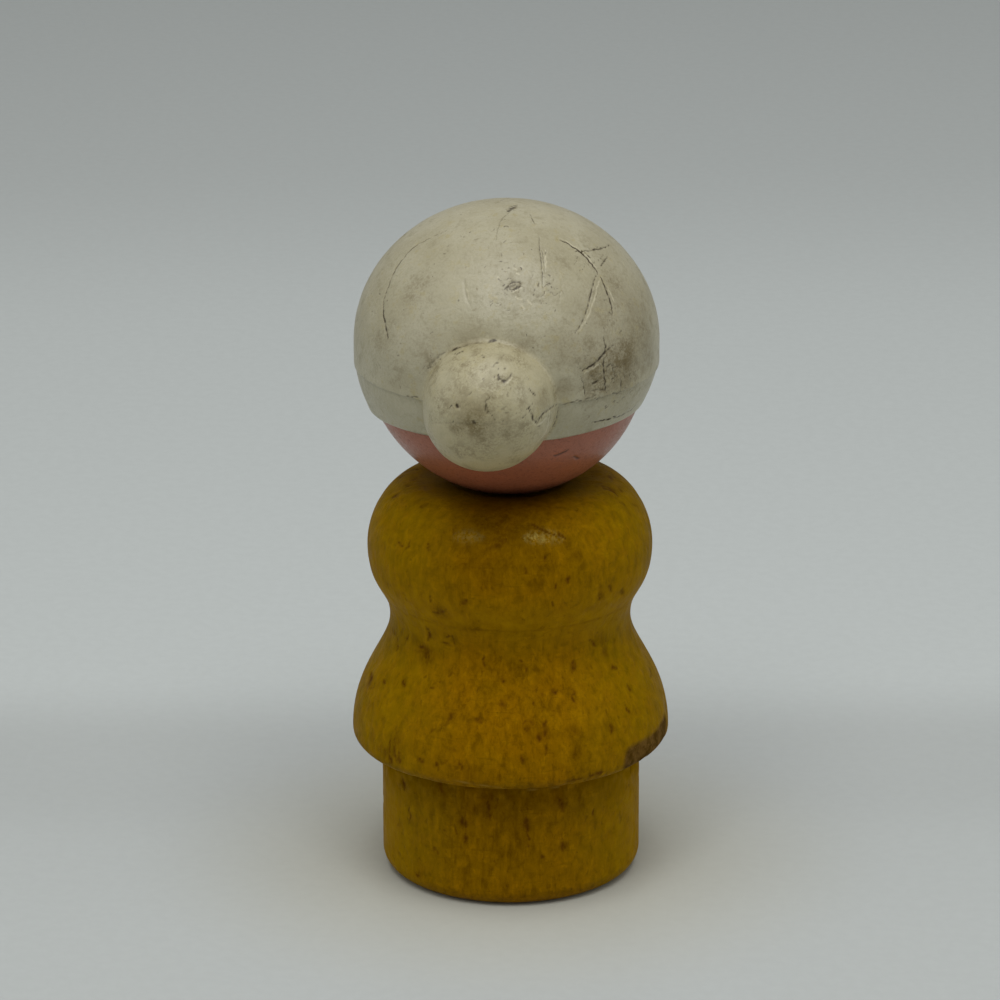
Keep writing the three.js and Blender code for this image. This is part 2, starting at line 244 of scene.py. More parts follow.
class Finish:
    """A material under way: each call adds one node and gives its output."""

    def __init__(self, name):
        self.material = bpy.data.materials.new(name)
        self.material.use_nodes = True
        self.nodes, self.links = self.material.node_tree.nodes, self.material.node_tree.links
        self.surface = self.nodes["Principled BSDF"]
        place = self.nodes.new("ShaderNodeTexCoord").outputs["Object"]
        self.place = self.scaled(place, 1 / MM, 1 / MM, 1 / MM)

    def put(self, value, socket):
        """Gives a socket a number, a colour, another node's output, or the mask of a name."""
        if isinstance(value, str):
            node = self.nodes.new("ShaderNodeAttribute")
            node.attribute_name = value
            value = node.outputs["Fac"]
        if isinstance(value, bpy.types.NodeSocket):
            self.links.new(value, socket)
        else:
            socket.default_value = value

    def vectors(self, operation, *entries, output="Vector"):
        node = self.nodes.new("ShaderNodeVectorMath")
        node.operation = operation
        for entry, socket in zip(entries, node.inputs):
            self.put(entry, socket)
        return node.outputs[output]

    def scaled(self, vector, x, y, z):
        return self.vectors("MULTIPLY", vector, (x, y, z))

    def shifted(self, vector, amount, by):
        """The vector, pushed about by a soft cloud."""
        push = self.cloud(vector, by, 2, 0.5, output="Color")
        return self.vectors("MULTIPLY_ADD", push, (amount, amount, amount), vector)

    def cloud(self, vector, scale, detail=3, roughness=0.55, output="Fac"):
        node = self.nodes.new("ShaderNodeTexNoise")
        entries = {"Vector": vector, "Scale": scale, "Detail": detail, "Roughness": roughness}
        for name, entry in entries.items():
            self.put(entry, node.inputs[name])
        return node.outputs[output]

    def span(self, value, low, high, to_low=0.0, to_high=1.0):
        """The value, taken smoothly from one range to another."""
        node = self.nodes.new("ShaderNodeMapRange")
        node.interpolation_type = "SMOOTHSTEP"
        for entry, socket in zip((value, low, high, to_low, to_high), node.inputs):
            self.put(entry, socket)
        return node.outputs[0]

    def maths(self, operation, first, second=0.0):
        node = self.nodes.new("ShaderNodeMath")
        node.operation = operation
        self.put(first, node.inputs[0])
        self.put(second, node.inputs[1])
        return node.outputs[0]

    def times(self, first, second):
        return self.maths("MULTIPLY", first, second)

    def plus(self, first, second):
        return self.maths("ADD", first, second)

    def minus(self, first, second):
        return self.maths("SUBTRACT", first, second)

    def tint(self, share, under, over):
        node = self.nodes.new("ShaderNodeMix")
        node.data_type = "RGBA"
        self.put(share, node.inputs[0])
        self.put(under, node.inputs[6])
        self.put(over, node.inputs[7])
        return node.outputs[2]

    def coat(self, cover, paint, share=None):
        """Lays a colour over those before it, by a cover or by a share of it."""
        self.base = self.tint(cover if share is None else self.times(cover, share), self.base, paint)

    def specks(self, vector, scale, size, share):
        """Specks of the given size at a share of many scattered points."""
        node = self.nodes.new("ShaderNodeTexVoronoi")
        self.put(vector, node.inputs["Vector"])
        node.inputs["Scale"].default_value = scale
        split = self.nodes.new("ShaderNodeSeparateColor")
        self.put(node.outputs["Color"], split.inputs[0])
        core = self.span(node.outputs["Distance"], size, 0.35 * size)
        return self.times(core, self.span(split.outputs[0], 1 - share, 1.02 - share))

    def shine(self, roughness, height, relief):
        """Joins the coats, the roughness and the relief to the surface."""
        self.put(self.base, self.surface.inputs["Base Color"])
        self.put(roughness, self.surface.inputs["Roughness"])
        bump = self.nodes.new("ShaderNodeBump")
        bump.inputs["Strength"].default_value = 1
        bump.inputs["Distance"].default_value = relief
        self.put(height, bump.inputs["Height"])
        self.put(bump.outputs[0], self.surface.inputs["Normal"])
        return self.material


crest_edge = math.degrees(math.acos(1 - SEAT_DEPTH / DISH_RADIUS))
pilot_edge = math.degrees(math.asin(PILOT_RADIUS / DISH_RADIUS))
body_profile = np.vstack(
    [
        straight((0, 0), (PEG_RADIUS - FOOT_ROUND, 0), 12),
        round_over(PEG_RADIUS - FOOT_ROUND, FOOT_ROUND, FOOT_ROUND, -88, 0, 16),
        straight((PEG_RADIUS, FOOT_ROUND), (PEG_RADIUS, PEG_HEIGHT), 64),
        straight((PEG_RADIUS, PEG_HEIGHT), (HEM_RADIUS - HEM_ROUND, PEG_HEIGHT), 8),
        round_over(HEM_RADIUS - HEM_ROUND, HEM_LEVEL, HEM_ROUND, -88, 0, 14),
        bow(
            (HEM_RADIUS, HEM_LEVEL), (HEM_RADIUS, HEM_LEVEL + SKIRT_FLARE * SKIRT_HEIGHT),
            (WAIST_RADIUS, WAIST_LEVEL - SKIRT_HOLLOW * SKIRT_HEIGHT), (WAIST_RADIUS, WAIST_LEVEL), 70,
        ),
        bow(
            (WAIST_RADIUS, WAIST_LEVEL), (WAIST_RADIUS, WAIST_LEVEL + CHEST_HOLLOW * CHEST_HEIGHT),
            (SHOULDER_RADIUS, SHOULDER_LEVEL - CHEST_SWELL * CHEST_HEIGHT),
            (SHOULDER_RADIUS, SHOULDER_LEVEL), 46,
        ),
        bow(
            (SHOULDER_RADIUS, SHOULDER_LEVEL),
            (SHOULDER_RADIUS, SHOULDER_LEVEL + SHOULDER_SWELL * SHOULDER_RISE),
            (CREST_RADIUS + CREST_SWELL * (SHOULDER_RADIUS - CREST_RADIUS), CREST_LEVEL),
            (CREST_RADIUS, CREST_LEVEL), 50,
        ),
        round_over(0, BALL_LEVEL, DISH_RADIUS, crest_edge - 90, pilot_edge - 90, 14),
        straight((PILOT_RADIUS, SEAT_LEVEL), (PILOT_RADIUS, PILOT_SHOULDER), 6),
    ]
)
body = skin("turned_body", turned(body_profile, columns(BODY_COLUMNS)), (0, 0, 0), (0, 0, PILOT_TIP))
points, normals, tree = measured(body)

# Dark flecks that the photograph shows larger than the rest, as short lines over its pixels, each
# pixel across and down. Some of them, turned half round, stand for those of the far side.
FLECKS = (
    (533, 524, 541, 529, 549, 534), (557, 533, 564, 538), (602, 486, 610, 489, 618, 494),
    (410, 541, 405, 550), (427, 543, 428, 550), (420, 507, 428, 504), (430, 596, 430, 602),
    (526, 568, 526, 574), (568, 576, 568, 582), (556, 583, 556, 589), (601, 586, 601, 600),
    (491, 548, 498, 545, 506, 540), (545, 557, 545, 561), (397, 637, 396, 643, 397, 650),
    (427, 630, 430, 634, 427, 639), (445, 637, 454, 635), (416, 651, 422, 653), (370, 673, 371, 680),
    (374, 684, 371, 690), (403, 680, 405, 686), (384, 680, 385, 684), (483, 656, 484, 666),
    (520, 661, 527, 671), (573, 662, 572, 672), (572, 688, 575, 692, 573, 698, 576, 706),
    (502, 677, 503, 682), (500, 701, 504, 705), (435, 727, 431, 733), (453, 713, 449, 720),
    (477, 720, 481, 722), (523, 724, 527, 720, 532, 724, 529, 730, 524, 728), (541, 693, 543, 696),
    (553, 690, 555, 694), (603, 654, 609, 655), (611, 725, 612, 733), (390, 756, 391, 768),
    (402, 776, 404, 784, 405, 791), (490, 793, 492, 799), (465, 834, 466, 843), (455, 828, 458, 836),
    (562, 839, 564, 850), (526, 817, 527, 831), (528, 834, 529, 847), (488, 803, 489, 820),
    (433, 848, 437, 853), (593, 810, 594, 818), (433, 614, 440, 613, 447, 610), (460, 604, 466, 602),
    (533, 701, 535, 705), (451, 748, 455, 752), (418, 758, 423, 763), (459, 762, 461, 770),
    (436, 762, 438, 770), (546, 722, 544, 735), (546, 746, 547, 754), (521, 757, 523, 764),
    (538, 735, 541, 741), (430, 687, 433, 690), (628, 684, 630, 690), (611, 669, 617, 667),
    (650, 666, 651, 678), (627, 708, 630, 712), (592, 776, 604, 773), (566, 782, 582, 779),
    (440, 783, 442, 793), (461, 818, 466, 826), (409, 806, 410, 822), (542, 855, 545, 861),
    (561, 800, 563, 812), (415, 873, 420, 878), (609, 586, 612, 591), (621, 590, 624, 595),
    (413, 480, 418, 477), (404, 482, 409, 485), (393, 498, 398, 494), (400, 502, 404, 497),
    (603, 487, 611, 491, 618, 495), (617, 487, 622, 492), (632, 502, 636, 506, 639, 511),
    (621, 501, 625, 506), (608, 475, 611, 478), (389, 740, 390, 752), (394, 746, 395, 760),
    (399, 752, 400, 763), (424, 628, 429, 636), (408, 636, 404, 644), (419, 646, 428, 648),
    (442, 642, 452, 646), (393, 628, 395, 634), (590, 640, 597, 646), (568, 632, 574, 634),
)
FLECK_WIDTHS, FLECK_DEPTH, FLECK_WOBBLE = (0.2 * MM, 0.3 * MM, 0.42 * MM), 0.03 * MM, 2.2
FLECK_BREAKS, HALF_TURN = ((0.24 * MM, 4), (0.5 * MM, 9)), np.array((-1, -1, 1))
fleck = np.zeros(len(points))
for index, pixels in enumerate(FLECKS):
    path, width = drawn_on(tree, pixels, FLECK_WOBBLE), FLECK_WIDTHS[index % 3]
    fleck = np.maximum(fleck, nearness(points, path, width))
    if index % 4:
        fleck = np.maximum(fleck, nearness(points, path * HALF_TURN, width))
for size, seed in FLECK_BREAKS:
    fleck = ragged(points, fleck, size, seed)

# Finer cuts, unbroken, that go through the varnish.
SCORES = (
    (532, 524, 540, 529, 548, 533, 556, 535), (558, 534, 561, 536, 566, 539), (602, 487, 610, 490, 618, 495),
    (397, 541, 404, 548), (552, 601, 553, 607),
)
SCORE_WIDTH, SCORE_WOBBLE = 0.15 * MM, 0.8
fleck = np.maximum(fleck, lines_on(points, tree, SCORES, SCORE_WIDTH, SCORE_WOBBLE))

# Smudges worked into the varnish, and at the end wide ones that are painted shade, on the chest under the
# head, at the waist and over the peg: a pixel at the middle, the radius in millimetres, and the strength.
SMUDGES = (
    (427, 656, 1.3, 0.9), (370, 681, 1.0, 0.9), (404, 683, 0.6, 0.8), (498, 545, 0.9, 0.5),
    (577, 555, 0.9, 0.5), (440, 613, 1.3, 0.6), (601, 597, 0.8, 0.7), (526, 727, 0.8, 0.5),
    (475, 629, 1.6, 0.45), (575, 730, 0.9, 0.5), (576, 754, 0.9, 0.5), (612, 729, 0.7, 0.6),
    (452, 717, 0.8, 0.5), (545, 735, 1.1, 0.4), (463, 822, 0.9, 0.6), (564, 846, 0.8, 0.7),
    (528, 830, 0.9, 0.5), (490, 800, 1.5, 0.6), (440, 790, 1.2, 0.6), (403, 784, 0.8, 0.8),
    (606, 652, 0.8, 0.6), (560, 800, 1.2, 0.5), (600, 640, 1.1, 0.4), (415, 640, 1.1, 0.5),
    (395, 740, 1.2, 0.5), (420, 875, 0.8, 0.5), (386, 752, 1.2, 0.6), (470, 775, 1.3, 0.4),
    (630, 630, 0.8, 0.5), (455, 530, 1.0, 0.4), (497, 524, 5.0, 0.5), (485, 560, 4.5, 0.3),
    (535, 555, 4.0, 0.22), (510, 832, 5.5, 0.34), (470, 640, 4.0, 0.15),
)
smudge = np.zeros(len(points))
for index, (*pixel, radius, strength) in enumerate(SMUDGES):
    path = drawn_on(tree, 2 * pixel)
    for side in (path, path * HALF_TURN)[: 1 + index % 2]:
        smudge = np.maximum(smudge, strength * nearness(points, side, radius * MM, tapered=False))

# A knock on the hem, where the edge is crushed to bare brown wood, varnish rubbed off its rim, and two
# places on the shoulders that hands have polished.
KNOCK = (634, 759, 644, 754, 654, 747, 661, 739, 665, 730)
KNOCK_WIDTH, KNOCK_DEPTH, LUMP_SIZE = 1.9 * MM, 0.06 * MM, 0.8 * MM
RUBBED = (
    (447, 779, 470, 784, 492, 787, 505, 789), (520, 790, 540, 789, 560, 786, 585, 779),
)
RUB_WIDTH = 0.2 * MM
POLISHED = (
    (526, 538, 541, 537, 562, 538, 1.0), (455, 537, 466, 536, 482, 537, 0.75),
)
POLISH_WIDTH = 1.25 * MM
lumps = unevenness(points, LUMP_SIZE, 3)
knock = nearness(points, drawn_on(tree, KNOCK), KNOCK_WIDTH, tapered=False)
knock = clipped((knock - 0.14 + 0.1 * lumps) / 0.3)
rubbed = lines_on(points, tree, RUBBED, RUB_WIDTH) * clipped(0.55 + 1.6 * lumps)
polish = np.zeros(len(points))
for *pixels, strength in POLISHED:
    polish = np.maximum(polish, strength * nearness(points, drawn_on(tree, pixels), POLISH_WIDTH))
polish *= 1 - fleck

# Grime and painted shade lie in the angle under the ball, strongest on the front where the head's
# shadow falls, and a little under the hem. The waist and the lower sides of the peg are painted paler,
# as painted light, and the two sides left and right of the camera are painted a brighter olive, as
# painted side light. The tool left a fine line round the upper waist.
GRIME_REACH, GRIME_FADE, HEM_GRIME_FADE = CREST_RADIUS + 2.3 * MM, 3.4 * MM, 4.2 * MM
HELD_LEVEL, HELD_FADE = WAIST_LEVEL + 3.0 * MM, 3.2 * MM
TOOL_LINE_LEVEL, TOOL_LINE_WIDTH, TOOL_LINE_SWAY = WAIST_LEVEL + 2.3 * MM, 0.18 * MM, 0.05 * MM
height = points[:, 2]
reach = np.hypot(points[:, 0], points[:, 1])
across = np.abs(points @ np.array(turn.col[0])) / np.maximum(reach, MM)
# Grime and painted shade: darker near the seat, less on the two sides, and darker under the hem.
grime = clipped((GRIME_REACH - reach) / GRIME_FADE) * (height > SHOULDER_LEVEL)
grime *= 1 - 0.8 * clipped((across - 0.3) / 0.4)
under_hem = clipped(1 - (PEG_HEIGHT - height) / HEM_GRIME_FADE) * (height < PEG_HEIGHT)
grime = np.maximum(grime, 0.75 * under_hem * clipped(0.7 + lumps))
# Painted light: the waist, and below it the two sides of the peg, are painted paler.
held = clipped(1 - np.abs(height - HELD_LEVEL) / HELD_FADE) * clipped(0.75 + 0.5 * lumps)
# Painted side light: the sides left and right of the camera are painted a brighter olive.
greened = clipped((across - 0.35) / 0.5) * clipped(0.9 + 0.4 * lumps)
held = np.maximum(held, 0.5 * clipped((across - 0.75) / 0.2) * (height < PEG_HEIGHT))
tool_line = clipped(1 - np.abs(height - TOOL_LINE_LEVEL - TOOL_LINE_SWAY * lumps) / TOOL_LINE_WIDTH)
tool_line *= (reach > PEG_RADIUS / 2) * clipped(0.3 + 1.6 * lumps)
fleck = np.maximum(fleck, 0.5 * tool_line)

SWAY_SIZE, SWAY_DEPTH, DENT_SIZE, DENT_DEPTH, BORE_EDGE = 5 * MM, 0.025 * MM, 1.6 * MM, 0.03 * MM, 2 * MM
sway = SWAY_DEPTH * unevenness(points, SWAY_SIZE, 1)
sway = sway - DENT_DEPTH * (unevenness(points, DENT_SIZE, 2) > 0.35)
outside = clipped(reach / BORE_EDGE - 1) * clipped(height / BORE_EDGE)
sink = np.minimum(sway - SWAY_DEPTH, 0) * outside - FLECK_DEPTH * fleck - KNOCK_DEPTH * knock
store(
    body, points + sink[:, None] * normals, fleck=fleck, smudge=smudge, knock=knock, rubbed=rubbed,
    polish=polish, grime=grime, held=held, greened=greened,
)

STAIN, STAIN_ORANGE = colour(132, 94, 0), colour(138, 95, 0)
STAIN_DARK, STAIN_LIGHT = colour(99, 68, 0), colour(155, 111, 1)
STAIN_OLIVE_DARK, STAIN_OLIVE, STAIN_PALE = colour(108, 83, 0), colour(154, 126, 0), colour(172, 129, 1)
PORE, BARE_WOOD, BARE_WOOD_DARK = colour(68, 36, 0), colour(104, 77, 38), colour(70, 48, 14)
RUBBED_WOOD, WOOD_GRIME, FLECK_BROWN = colour(146, 114, 46), colour(84, 50, 0), colour(72, 36, 4)
VARNISH_GLEAM, WOOD_RELIEF = (1.0, 0.92, 0.27, 1), 0.06 * MM
wood = Finish("yellow_stained_wood")
broad = wood.cloud(wood.place, 0.13, 2)
mottle = wood.cloud(wood.shifted(wood.scaled(wood.place, 1, 1, 0.7), 0.9, 0.9), 1.15, 5, 0.68)
fine = wood.cloud(wood.scaled(wood.place, 1, 1, 0.55), 4.2, 4, 0.65)
upright = wood.cloud(wood.shifted(wood.scaled(wood.place, 1, 1, 0.22), 0.5, 0.8), 2.6, 4, 0.6)
lathe_rings = wood.cloud(wood.scaled(wood.place, 0.1, 0.1, 1), 4.5, 3, 0.6)
crowded = wood.span(wood.cloud(wood.place, 0.42, 2), 0.38, 0.62, 0.25, 1)
blots = wood.cloud(wood.shifted(wood.scaled(wood.place, 1, 1, 0.62), 0.7, 2.2), 1.75, 3, 0.6)
blots = wood.times(wood.span(blots, 0.58, 0.72), crowded)
pores = wood.cloud(wood.shifted(wood.scaled(wood.place, 1, 1, 0.36), 0.5, 2.5), 3.4, 2, 0.5)
pores = wood.span(pores, 0.62, 0.72)
wood.base = wood.tint(wood.span(broad, 0.4, 0.6), STAIN_ORANGE, STAIN)
GRAINS = (
    (mottle, 0.5, 0.7, 0.85, STAIN_LIGHT), (mottle, 0.52, 0.3, 0.8, STAIN_DARK),
    (upright, 0.5, 0.3, 0.45, STAIN_DARK), (upright, 0.54, 0.72, 0.45, STAIN_LIGHT),
    (fine, 0.5, 0.3, 0.28, STAIN_DARK), (lathe_rings, 0.56, 0.72, 0.35, STAIN_DARK),
)
for grain, low, high, share, stain in GRAINS:
    wood.coat(wood.span(grain, low, high, 0, share), stain)
# Painted side light: a brighter olive on the two sides.
wood.coat("greened", wood.tint(mottle, STAIN_OLIVE_DARK, STAIN_OLIVE), 0.6)
# Painted light on the waist and on the sides of the peg.
wood.coat("held", STAIN_PALE, 0.62)
wood.coat(blots, PORE, 0.4)
wood.coat(pores, PORE, 0.16)
worked_in = wood.times("smudge", wood.span(fine, 0.32, 0.6, 0.25, 0.9))
# Smudges, and painted shade on the chest, waist and peg.
wood.coat(worked_in, PORE)
# Painted shade and grime under the ball and under the hem.
wood.coat("grime", WOOD_GRIME, 0.75)
wood.coat("fleck", FLECK_BROWN, 0.82)
wood.coat("rubbed", RUBBED_WOOD, 0.8)
bruise = wood.tint(wood.span(mottle, 0.38, 0.6), BARE_WOOD_DARK, BARE_WOOD)
wood.coat("knock", bruise, 0.92)
dull = wood.span(wood.cloud(wood.place, 0.7, 3), 0.3, 0.7, 0.4, 0.55)
polished = wood.times("polish", wood.span(fine, 0.38, 0.56, 0.15, 1))
dull = wood.minus(dull, wood.times(polished, 0.2))
dull = wood.plus(dull, wood.times("grime", 0.4))
dull = wood.plus(dull, wood.times("knock", 0.3))
relief = wood.plus(wood.times(mottle, 1.4), wood.times(upright, 0.7))
relief = wood.minus(relief, wood.plus(wood.times(pores, 0.25), wood.times(blots, 0.3)))
varnish_left = wood.span("grime", 0.1, 0.5, 1, 0)
gloss = wood.span(polished, 0, 1, 0.035, 0.7)
varnish_left = wood.times(varnish_left, wood.span("greened", 0.2, 0.9, 1, 0.35))
wood.put(wood.times(gloss, varnish_left), wood.surface.inputs["Specular IOR Level"])
wood.surface.inputs["Specular Tint"].default_value = VARNISH_GLEAM
body.data.materials.append(wood.shine(dull, relief, WOOD_RELIEF))
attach(body, "figure_body")
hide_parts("body")


# Neck pin: a ringed steel drive pin with a flat head, driven through the floor of the head into the
# body. Its solid has the right shape, so it only gets its drawn steel.
STEEL, STEEL_DARK, STEEL_RELIEF = colour(176, 177, 176), colour(120, 121, 122), 0.01 * MM
steel = Finish("drawn_steel")
drawing_lines = steel.cloud(steel.scaled(steel.place, 6, 6, 0.3), 2.5, 3)
steel.base = steel.tint(steel.span(drawing_lines, 0.3, 0.7), STEEL_DARK, STEEL)
steel.surface.inputs["Metallic"].default_value = 1
steel_dull = steel.span(drawing_lines, 0.3, 0.7, 0.28, 0.45)
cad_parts["neck_pin"].data.materials.clear()
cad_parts["neck_pin"].data.materials.append(steel.shine(steel_dull, drawing_lines, STEEL_RELIEF))


# Head: a hollow pink ball, moulded in plastic, with a flat floor bored for the pin. It is cut back
# where the hair laps over it, and a plain face is printed in the opening of the hair.
REBATE_RADIUS, CAVITY_RADIUS = 11.0 * MM, 9.2 * MM
PIN_HOLE_RADIUS, FLOOR_LEVEL, CROWN_OPENING = 1.6 * MM, BALL_LEVEL - 8.1 * MM, 5.6 * MM
RIM_DROP, RIM_TILT, HAIRLINE_LIMIT = 4.58 * MM, math.radians(3.2), math.radians(80)
FACE_HALF_WIDTH, FACE_TOP, FACE_ARCH, FACE_CORNER = 9 * MM, 7 * MM, 6.5 * MM, 1.6 * MM
RIM_CURL, RIM_SEAM = 1.0 * MM, 0.03 * MM
PLAY, PLAY_FROM, PLAY_OVER = 0.2 * MM, 35 * MM, 6 * MM
HEAD_COLUMNS, CHEEK_ROWS, REBATE_ROWS, CAVITY_ROWS = 540, 190, 12, 16


def hair_covers(points):
    """Above 0 where hair lies over a point, and below 0 under its rim or in the opening for the face."""
    across, back, up = points[..., 0], points[..., 1], points[..., 2] - BALL_LEVEL
    level, tipped = math.cos(RIM_TILT), math.sin(RIM_TILT)
    back, up = back * level + up * tipped, up * level - back * tipped
    curl = RIM_CURL * clipped(-across / BALL_RADIUS - 0.45)
    above_rim = up + RIM_DROP - curl
    corner = clipped(above_rim / FACE_CORNER)
    half = FACE_HALF_WIDTH + FACE_CORNER * (1 - np.sqrt(corner)) ** 2
    arch = clipped((up - FACE_TOP + FACE_ARCH) / FACE_ARCH)
    half = np.where(up < FACE_TOP, half * np.sqrt(1 - arch**2), -BALL_RADIUS)
    beside_face = np.where(back < 0, np.abs(across) - half, BALL_RADIUS)
    return np.minimum(above_rim, beside_face)


def first_change(covered, start, end, looks=400, halvings=24):
    """For each column, the angle of the first change of cover between two angles."""
    angles = np.linspace(start, end, looks)
    state = np.stack([covered(angle) > 0 for angle in angles])
    first = np.argmax(state != state[0], axis=0)
    low, high = angles[first - 1], angles[first]
    for _ in range(halvings):
        middle = (low + high) / 2
        same = (covered(middle) > 0) == state[0]
        low, high = np.where(same, middle, low), np.where(same, high, middle)
    return (low + high) / 2


def towards(angles, tilts):
    """Unit vectors at angles round the axis and tilts above the level."""
    flat = np.cos(tilts)
    return np.stack(np.broadcast_arrays(flat * np.cos(angles), flat * np.sin(angles), np.sin(tilts)), -1)


def set_aside(piece):
    """Shifts the part of a piece above the seat by the play of the head on its pin."""
    points = np.empty(3 * len(piece.data.vertices))
    piece.data.vertices.foreach_get("co", points)
    points[0::3] += PLAY * clipped((points[2::3] - PLAY_FROM) / PLAY_OVER)
    piece.data.vertices.foreach_set("co", points)
    piece.data.update()


ball_centre = np.array((0, 0, BALL_LEVEL))
head_angles = np.linspace(0, 2 * math.pi, HEAD_COLUMNS, endpoint=False)
hole_tilt = -math.acos(PIN_HOLE_RADIUS / BALL_RADIUS)
shoulder_tilt = first_change(
    lambda tilt: hair_covers(ball_centre + BALL_RADIUS * towards(head_angles, tilt)),
    hole_tilt, HAIRLINE_LIMIT,
)
shoulder_tilt = shoulder_tilt - RIM_SEAM / BALL_RADIUS
crown_tilt = math.acos(CROWN_OPENING / REBATE_RADIUS)
inner_crown_tilt = math.acos(CROWN_OPENING / CAVITY_RADIUS)
floor_tilt = math.asin((FLOOR_LEVEL - BALL_LEVEL) / CAVITY_RADIUS)
rise = np.linspace(0, 1, CHEEK_ROWS)[:, None]
cheeks = ball_centre + BALL_RADIUS * towards(head_angles, hole_tilt + (shoulder_tilt - hole_tilt) * rise)
rise = np.linspace(0, 1, REBATE_ROWS)[:, None]
rebate_tilts = shoulder_tilt + (crown_tilt - shoulder_tilt) * rise
rebate = ball_centre + REBATE_RADIUS * towards(head_angles, rebate_tilts)
fall = np.linspace(inner_crown_tilt, floor_tilt, CAVITY_ROWS)[:, None]
cavity = ball_centre + CAVITY_RADIUS * towards(head_angles, fall)
floor_edge = turned(np.array([[PIN_HOLE_RADIUS, FLOOR_LEVEL]]), head_angles)
head = skin("ball_head", np.vstack([cheeks, rebate, cavity, floor_edge]))
set_aside(head)
points, normals, tree = measured(head)

HEAD_SCRATCHES = ((554, 456, 562, 453, 569, 450), (574, 457, 579, 459), (440, 452, 447, 457))
HEAD_SCRATCH_WIDTH, HEAD_SCRATCH_DEPTH, HEAD_SCRATCH_WOBBLE = 0.2 * MM, 0.05 * MM, 1.5
CHIN_GRIME_FADE, SKIN_DEPTH = 2.6 * MM, 0.1 * MM
scratch = lines_on(points, tree, HEAD_SCRATCHES, HEAD_SCRATCH_WIDTH, HEAD_SCRATCH_WOBBLE)
# Grime and painted shade: darker towards the bottom of the ball, where it sits in the seat.
grime = clipped(1 - (points[:, 2] - BALL_LEVEL + BALL_RADIUS) / CHIN_GRIME_FADE)
outer = np.linalg.norm(points - ball_centre, axis=1) > BALL_RADIUS - SKIN_DEPTH
store(head, points - (HEAD_SCRATCH_DEPTH * scratch * outer)[:, None] * normals, scratch=scratch, grime=grime)

PINK, PINK_WARM, PINK_GRIME = colour(149, 86, 59), colour(156, 89, 59), colour(68, 38, 25)
INK, LIP, BLUSH = colour(38, 26, 20), colour(122, 44, 36), colour(160, 78, 62)
EYE_ASIDE, EYE_LEVEL, EYE_HALF_WIDTH, EYE_HALF_HEIGHT = 3.7, 0.9, 0.75, 1.0
BROW_RADIUS, BROW_LEVEL, BROW_WIDTH = 2.1, 1.5, 0.17
SMILE_RADIUS, SMILE_LEVEL, SMILE_WIDTH, SMILE_ASIDE = 4.2, 0.1, 0.3, 2.7
CHEEK_ASIDE, CHEEK_LEVEL, CHEEK_RADIUS = 6.0, -2.1, 1.9
SMILE_FADE, SOFT_EDGE, FACE_FRONT, FACE_FADE, PINK_RELIEF = 0.1, 0.08, -4.0, 1.0, 0.02 * MM
pink = Finish("pink_plastic")
split = pink.nodes.new("ShaderNodeSeparateXYZ")
pink.put(pink.place, split.inputs[0])
aside = pink.maths("ABSOLUTE", split.outputs[0])
level = pink.minus(split.outputs[2], BALL_LEVEL / MM)
in_front = pink.span(split.outputs[1], FACE_FRONT, FACE_FRONT - FACE_FADE)


def away(from_aside, from_level, squash=1.0):
    """Distance in the face's plane from a point and its mirror image."""
    x = pink.minus(aside, from_aside)
    z = pink.times(pink.minus(level, from_level), squash)
    return pink.maths("SQRT", pink.plus(pink.times(x, x), pink.times(z, z)))


def printed(distance, size):
    """Ink within a distance, with the soft edge of a printed line, on the front alone."""
    return pink.times(pink.span(distance, size + SOFT_EDGE, size - SOFT_EDGE), in_front)


eyes = printed(away(EYE_ASIDE, EYE_LEVEL, EYE_HALF_WIDTH / EYE_HALF_HEIGHT), EYE_HALF_WIDTH)
brow_line = pink.maths("ABSOLUTE", pink.minus(away(EYE_ASIDE, BROW_LEVEL), BROW_RADIUS))
brow_half = pink.span(level, BROW_LEVEL + 1.5, BROW_LEVEL + 1.7)
brows = pink.times(printed(brow_line, BROW_WIDTH), brow_half)
smile_line = pink.maths("ABSOLUTE", pink.minus(away(0, SMILE_LEVEL), SMILE_RADIUS))
smile_half = pink.span(aside, SMILE_ASIDE + SMILE_FADE, SMILE_ASIDE - SMILE_FADE)
smile_half = pink.times(smile_half, pink.span(level, -0.5, -1.5))
smile = pink.times(printed(smile_line, SMILE_WIDTH), smile_half)
blush = pink.times(pink.span(away(CHEEK_ASIDE, CHEEK_LEVEL), CHEEK_RADIUS, 0.3 * CHEEK_RADIUS), in_front)
print_wear = pink.span(pink.cloud(pink.place, 2.6, 4), 0.28, 0.36)
pink.base = pink.tint(pink.span(pink.cloud(pink.place, 0.35, 3), 0.3, 0.7), PINK, PINK_WARM)
rubbing = pink.cloud(pink.shifted(pink.place, 0.6, 1.5), 3.5, 4)
pink.coat(pink.span(rubbing, 0.52, 0.72, 0, 0.36), PINK_GRIME)
pink.coat(pink.span(pink.cloud(pink.place, 8.0, 3, 0.7), 0.5, 0.7, 0, 0.4), PINK_GRIME)
pink.coat(blush, BLUSH, 0.55)
pink.coat(eyes, INK, print_wear)
pink.coat(brows, INK, print_wear)
pink.coat(smile, LIP, print_wear)
# Grime and painted shade at the bottom of the ball.
pink.coat("grime", PINK_GRIME, 0.7)
pink.coat("scratch", PINK_GRIME, 0.95)
dull = pink.span(rubbing, 0.3, 0.7, 0.28, 0.45)
pink.surface.inputs["Specular IOR Level"].default_value = 0.5
head.data.materials.append(pink.shine(dull, pink.cloud(pink.place, 3.0, 3), PINK_RELIEF))
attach(head, "head")
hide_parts("head_shell")


